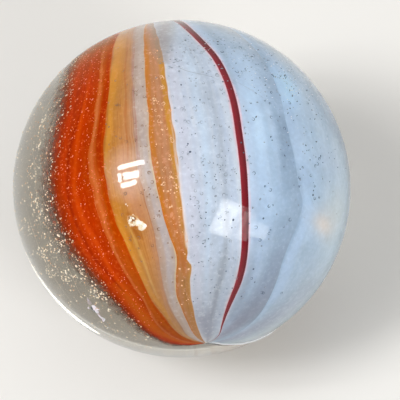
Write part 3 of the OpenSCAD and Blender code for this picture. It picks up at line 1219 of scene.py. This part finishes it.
seeds(
    "seeds_in_stripe",
    scattered(110, (STRIPE_START, 1.2), (WHITE_START, -1), (18, 118), (0.014, 0.05), 0.4)
    + clustered(36, STRIPE_CLOTS, 1.5, (0.016, 0.05), 0.4),
    AMBER_SEED,
)
bed("seeds_in_white", GREY_SEED, 260, (WHITE_START, 0.8), THREAD_START, (15, 150), (0.012, 0.042), 0.35)
bed("seeds_in_opal", GREY_SEED, 200, (thread_end, 0), (FOLD_EDGE, 8), (15, 150), (0.014, 0.045), 0.35,
    lean=0.4)
bed("seeds_in_lens", GREY_SEED, 60, (FOLD_EDGE, 0), (OPAL_END, -30), (30, 140), (0.014, 0.04), 0.35,
    lean=0.4)
bed("dark_dots", SLATE_SEED, 46, (WHITE_START, 0.8), (FOLD_EDGE, 16), (22, 125), (0.03, 0.056), 0.35,
    stretch=1.3)
bed("dots_in_white", SLATE_SEED, 110, (WHITE_START, 0.8), THREAD_START, (16, 84), (0.018, 0.034), 0.35)
BACK_STROKES = [
    (44, 114), (33, 110), (26, 110), (50, 106), (29, 105), (34, 119), (17, 114), (24, 118), (40, 106),
    (12, 112),
]
PALE_STROKES = [(44, 110), (33, 112), (26, 108), (50, 104), (38, 100), (20, 112), (42, 96)]
LENS_DASHES = [(40, 104), (36, 110), (46, 98), (52, 92), (58, 86), (62, 80), (44, 88), (56, 100)]
BACK_DASHES = [(4, 116), (10, 108), (2, 106), (20, 100)]
clump("back_strokes", SLATE_SEED, 420, BACK_STROKES, 6, (0.010, 0.022), 0.5, stretch=4, turn=0.5)
clump("pale_strokes", SILVER, 260, PALE_STROKES, 6, (0.010, 0.024), 0.5, stretch=4, turn=0.5)
clump("dashes_in_lens", SLATE_SEED, 84, LENS_DASHES, 9, (0.018, 0.034), 0.5, stretch=3.4, turn=0.7)
clump("back_dashes", GREY_SEED, 60, BACK_DASHES, 5, (0.012, 0.03), 0.6, stretch=3, turn=0.3)

# In mm.
RING_SIZES = (0.035, 0.085)
RING_THICKNESS = (0.012, 0.02)


def random_rings(name, glass, *where):
    """Rings scattered between two borders, as one piece."""
    rings(name, [
        (a, p, rng.uniform(*RING_SIZES) * MM, rng.uniform(*RING_THICKNESS) * MM, rng.uniform(0.5, 2.2),
         rng.uniform(0, 6.3))
        for a, p, *_ in scattered(*where, (1, 1), 1)
    ], glass)


random_rings("rings_in_white", GREY_SEED, 95, (WHITE_START, 0.5), THREAD_START, (22, 118))
random_rings("rings_in_opal", SLATE_SEED, 50, (thread_end, 0), (FOLD_EDGE, 16), (28, 118))
random_rings("rings_in_amber", BROWN_SEED, 34, (AMBER_START, 2), (STRIPE_START, 0), (38, 112))
random_rings("rings_in_stripe", AMBER_SEED, 24, (STRIPE_START, 2), (WHITE_START, 0), (55, 105))

# Each bit: (longitude, polar, long radius, short radius, height, depth, turn), in degrees and mm.
crumbs("chip_crumbs", [
    (-25.6, 57.6, 0.11, 0.08, 0.05, 0.055, 0.3), (-24.4, 56.4, 0.1, 0.07, 0.05, 0.06, 1.2),
    (-25.4, 55.9, 0.08, 0.06, 0.04, 0.055, 2.0), (-22.3, 54.6, 0.1, 0.07, 0.04, 0.06, 0.9),
    (-21.6, 53.7, 0.08, 0.06, 0.04, 0.05, 2.6), (-23.3, 55.2, 0.09, 0.06, 0.04, 0.065, 0.2),
    (-22.9, 53.6, 0.07, 0.05, 0.04, 0.05, 1.7), (-24.9, 62.8, 0.05, 0.035, 0.015, 0, 0.5),
    (-24.5, 62.2, 0.03, 0.02, 0.015, 0, 0.5), (-24.2, 57.9, 0.08, 0.05, 0.04, 0.06, 2.2),
    (-25.0, 58.4, 0.06, 0.04, 0.04, 0.05, 0.6),
], CREAM)
crumbs("bruise_flakes", [
    (-72.6, 41.8, 0.221, 0.13, 0.03, 0.03, 0.5), (-74.4, 39.6, 0.26, 0.156, 0.03, 0.04, 0.5),
    (-76.2, 38.0, 0.234, 0.13, 0.03, 0.03, 0.9), (-73.6, 38.6, 0.156, 0.104, 0.03, 0.04, 2.2),
    (-78.4, 36.6, 0.195, 0.078, 0.02, 0.005, 1.1), (-80.6, 35.2, 0.156, 0.065, 0.02, 0, 0.3),
    (-77.4, 41.2, 0.104, 0.065, 0.02, 0.01, 0.2), (-70.9, 42.6, 0.13, 0.065, 0.02, 0.01, 0.9),
], LILAC)
crumbs("clear_flakes", [
    (-61.6, 74.6, 0.13, 0.05, 0.03, 0.06, 1.4), (-55.5, 80.6, 0.13, 0.045, 0.03, 0.05, 1.0),
    (-64.4, 41.5, 0.08, 0.06, 0.03, 0.05, 0.2), (-87.4, 33.2, 0.07, 0.04, 0.02, 0.01, 0.4),
], SILVER)
BRUISE_RINGS = [(-79.3, 35.4, 0.11 * MM, 0.026 * MM, 1.2, 2.6), (-75.4, 38.4, 0.1 * MM, 0.016 * MM, 2.2, 0.4)]
rings("bruise_rings", BRUISE_RINGS, SILVER)
joined("hairs", [
    hair([(-2.4, 109.4), (3.2, 103.8), (10.8, 101), (14.5, 98.8)], 0.012),
    hair([(15.5, 101), (24, 96), (30, 92)], 0.008),
    hair([(44, 66), (50, 62), (58, 57)], 0.006),
], GREY_SEED)
joined("pale_wisps", [
    hair([(-60, 100), (-58, 90), (-61, 80), (-66, 70)], 0.014, depth=0.15),
    hair([(-70, 82), (-73, 70), (-78, 58), (-86, 46)], 0.012, depth=0.2),
    hair([(-62, 60), (-66, 52), (-74, 44)], 0.012, depth=0.12),
    hair([(-54, 108), (-50, 112), (-46, 116)], 0.016, depth=0.1),
], PALE_SEED)
# The seam where the ribbons end, drawn as a near white line: a real seam with a painted glint of light along
# it.
SEAM = [(100, 2), (122, 6), (127.6, 16), (128.2, 26), (131, 36), (134, 50), (133, 70)]
joined("seam_and_glint_line", [hair(SEAM, 0.06, count=60)], SILVER)


# ---------------------------------------------------------------- camera

CAMERA_AZIMUTH = math.radians(-8)
CAMERA_ELEVATION = math.radians(63)
CAMERA_DISTANCE = 12.5 * RADIUS
CAMERA_LENS = 189.4
SENSOR = 36.0
PICTURE = 400
PIXEL = SENSOR / CAMERA_LENS / PICTURE
BALL_AT = (181.9, 189.0)


def camera_place_and_axes():
    """The camera's place, and its right, up and backward axes. It aims a little beside the ball, so that the
    ball's centre falls at BALL_AT in the picture."""
    ca, sa = math.cos(CAMERA_AZIMUTH), math.sin(CAMERA_AZIMUTH)
    ce, se = math.cos(CAMERA_ELEVATION), math.sin(CAMERA_ELEVATION)
    right, up, back = Vector((ca, sa, 0)), Vector((-sa * se, ca * se, ce)), Vector((sa * ce, -ca * ce, se))
    off_x, off_y = (BALL_AT[0] - PICTURE / 2) * PIXEL, (PICTURE / 2 - BALL_AT[1]) * PIXEL
    forward = -(back + right * off_x + up * off_y).normalized()
    side = forward.cross(up).normalized()
    return back * CAMERA_DISTANCE, side, side.cross(forward), -forward


def add_camera():
    place, side, top, back = camera_place_and_axes()
    data = bpy.data.cameras.new("camera")
    data.lens, data.sensor_width, data.clip_start = CAMERA_LENS, SENSOR, 0.005
    camera = in_scene("camera", data)
    camera.matrix_world = Matrix((side, top, back)).transposed().to_4x4()
    camera.location = place
    bpy.context.scene.camera = camera


# ---------------------------------------------------------------- lamps

def mirrored(x, y, distance):
    """The point at a distance from the ball that the camera sees mirrored in it at picture place (x, y)."""
    place, side, top, back = camera_place_and_axes()
    ray = (side * (x - PICTURE / 2) * PIXEL + top * (PICTURE / 2 - y) * PIXEL - back).normalized()
    half = place.dot(ray)
    touch = place + ray * (-half - math.sqrt(half**2 - place.length_squared + RADIUS**2))
    normal = touch.normalized()
    return touch + ray.reflect(normal) * distance


def flat_lamp(name, shape, wide, high, radiance, axes, middle):
    """A flat lamp, itself unseen by the camera."""
    data = bpy.data.lights.new(name, "AREA")
    data.shape, data.size, data.size_y = shape, wide, high
    data.energy = radiance * math.pi * wide * high * (math.pi / 4 if shape == "ELLIPSE" else 1)
    lamp = in_scene(name, data)
    lamp.matrix_world = axes.to_4x4()
    lamp.location = middle
    lamp.visible_camera = False
    return lamp


def add_lamp(name, corners, radiance, shape="RECTANGLE"):
    """A flat lamp whose reflection in the ball has these corners in the picture, clockwise from top left."""
    a, b, c, d = (mirrored(x, y, LAMP_DISTANCE) for x, y in corners)
    middle = (a + b + c + d) / 4
    wide, high = (b + c - a - d) / 2, (a + b - c - d) / 2
    z_axis = middle.normalized()
    x_axis = (wide - z_axis * wide.dot(z_axis)).normalized()
    axes = Matrix((x_axis, z_axis.cross(x_axis), z_axis)).transposed()
    lamp = flat_lamp(name, shape, wide.length, high.length, radiance, axes, middle)
    lamp.visible_transmission = False


def add_far_lamp(name, way, wide, high, radiance):
    """A flat lamp in this direction, which shows only through the clear glass, bent round its rim."""
    middle = Vector(way).normalized() * LAMP_DISTANCE
    axes = middle.to_track_quat("Z", "Y").to_matrix()
    lamp = flat_lamp(name, "ELLIPSE", wide, high, radiance, axes, middle)
    lamp.visible_glossy = False
    lamp.visible_diffuse = False


LAMP_DISTANCE = 0.3
# Corners of the reflections in the picture, in pixels: the window's panes and the soft patch by the thread.
WINDOW_PANES = {
    "window_top": [(117.6, 166), (143.6, 159.6), (144.4, 163.8), (118.6, 170.6)],
    "window_middle": [(123, 172.8), (139, 170.6), (138.6, 177), (123.6, 180.6)],
    "window_left": [(117.2, 173.8), (120.6, 173), (122.4, 181.4), (118.6, 182)],
    "window_bottom": [(120, 184), (136.4, 179.6), (136.8, 184.2), (121.6, 188.6)],
}
WINDOW_BRIGHTNESS = 26
GLOW_AT = (130.5, 174)
GLOW_REACHES = (13, 17, 21, 25, 29)
GLOW_BRIGHTNESS = 1.0
SOFT_PATCH = {
    "fill_whole": ([(219, 194), (246, 211), (240, 242), (208, 234)], 1.5),
    "fill_left": ([(220, 196), (238, 206), (236, 240), (211, 232)], 3.4),
    "fill_core": ([(222, 200), (234, 207), (232, 236), (215, 230)], 3.6),
    "fill_right": ([(240, 208), (252, 217), (251, 239), (238, 241)], 2.8),
    "fill_tail": ([(252, 217), (272, 231), (262, 236), (251, 239)], 3.8),
}
# The lamps that make the white line round the ball's lower left rim: their direction, width and height, the
# share of that size that each has, and how bright each is.
GLINT_WAY = (0.86, 0.49, 0.12)
GLINT_SIZE = (0.23, 0.056)
GLINT_SHARES = (1.16, 1.1, 1.04, 0.98, 0.92)
GLINT_BRIGHTNESS = 5


def add_lamps():
    for name, corners in WINDOW_PANES.items():
        add_lamp(name, corners, WINDOW_BRIGHTNESS)
    for step, reach in enumerate(GLOW_REACHES):
        around = [(-reach, -reach), (reach, -reach), (reach, reach), (-reach, reach)]
        corners = [(GLOW_AT[0] + x, GLOW_AT[1] + y) for x, y in around]
        add_lamp(f"window_glow_{step}", corners, GLOW_BRIGHTNESS, shape="ELLIPSE")
    for name, (corners, radiance) in SOFT_PATCH.items():
        add_lamp(name, corners, radiance)
    for step, share in enumerate(GLINT_SHARES):
        wide, high = GLINT_SIZE[0] * share, GLINT_SIZE[1] * share
        add_far_lamp(f"rim_glint_{step}", GLINT_WAY, wide, high, GLINT_BRIGHTNESS)


# ---------------------------------------------------------------- floor and background

BACKDROP = screen(226, 224, 220)
FLOOR_REACH = 0.95
# From and to which distance from the ball the floor fades into the background.
FLOOR_FADES = (0.09, 0.4)


def add_floor():
    """A pale sheet, lit as it is near the ball and running out into the background's colour."""
    t = Tree("floor")
    spread = t.noise(t.place(), scale=30, detail=2)
    paper = t.mixed(t.scaled(spread, 0.3, 0.7, 0, 0.3), screen(232, 230, 226), screen(236, 234, 231))
    diffuse = t.node("BsdfDiffuse", {"Color": paper, "Roughness": 0.4})
    distance = t.node("VectorMath", {0: t.place()}, operation="LENGTH").outputs["Value"]
    glow = t.node("Emission", {"Color": BACKDROP, "Strength": 1.0})
    far = t.scaled(distance, *FLOOR_FADES)
    t.finish(t.node("MixShader", {0: far, 1: diffuse.outputs[0], 2: glow.outputs[0]}).outputs[0])
    ends = (-FLOOR_REACH, FLOOR_REACH)
    corners = [(x, y, -RADIUS) for x in ends for y in ends]
    new_object("floor", corners, [(0, 2, 3, 1)], t.material)


# How bright the world is away from its soft light and in the middle of it, and where that light is.
WORLD_DIM = 0.21
WORLD_BRIGHT = 0.64
SOFT_LIGHT_FROM = (0.36, 0.5, 0.79)


def add_world():
    """A pale backdrop round the horizon, and a broad soft light overhead, a little to the back and right."""
    world = bpy.data.worlds.new("studio")
    bpy.context.scene.world = world
    world.use_nodes = True
    t = Tree.__new__(Tree)
    t.nodes, t.links = world.node_tree.nodes, world.node_tree.links
    t.nodes.clear()
    way = t.node("TexCoord").outputs["Generated"]
    split = t.node("SeparateXYZ", {0: way})
    toward = t.node("VectorMath", {0: way, 1: SOFT_LIGHT_FROM}, operation="DOT_PRODUCT").outputs["Value"]
    soft = t.scaled(toward, 0.1, 0.95, WORLD_DIM, WORLD_BRIGHT)
    above = t.node("CombineColor", {0: soft, 1: soft, 2: soft}).outputs[0]
    colour = t.mixed(t.scaled(split.outputs[2], 0.1, 0.3), BACKDROP, above)
    background = t.node("Background", {"Color": colour})
    out = t.nodes.new("ShaderNodeOutputWorld")
    t.links.new(background.outputs[0], out.inputs["Surface"])


add_camera()
add_world()
add_floor()
add_lamps()
bpy.context.scene.view_settings.view_transform = "Standard"
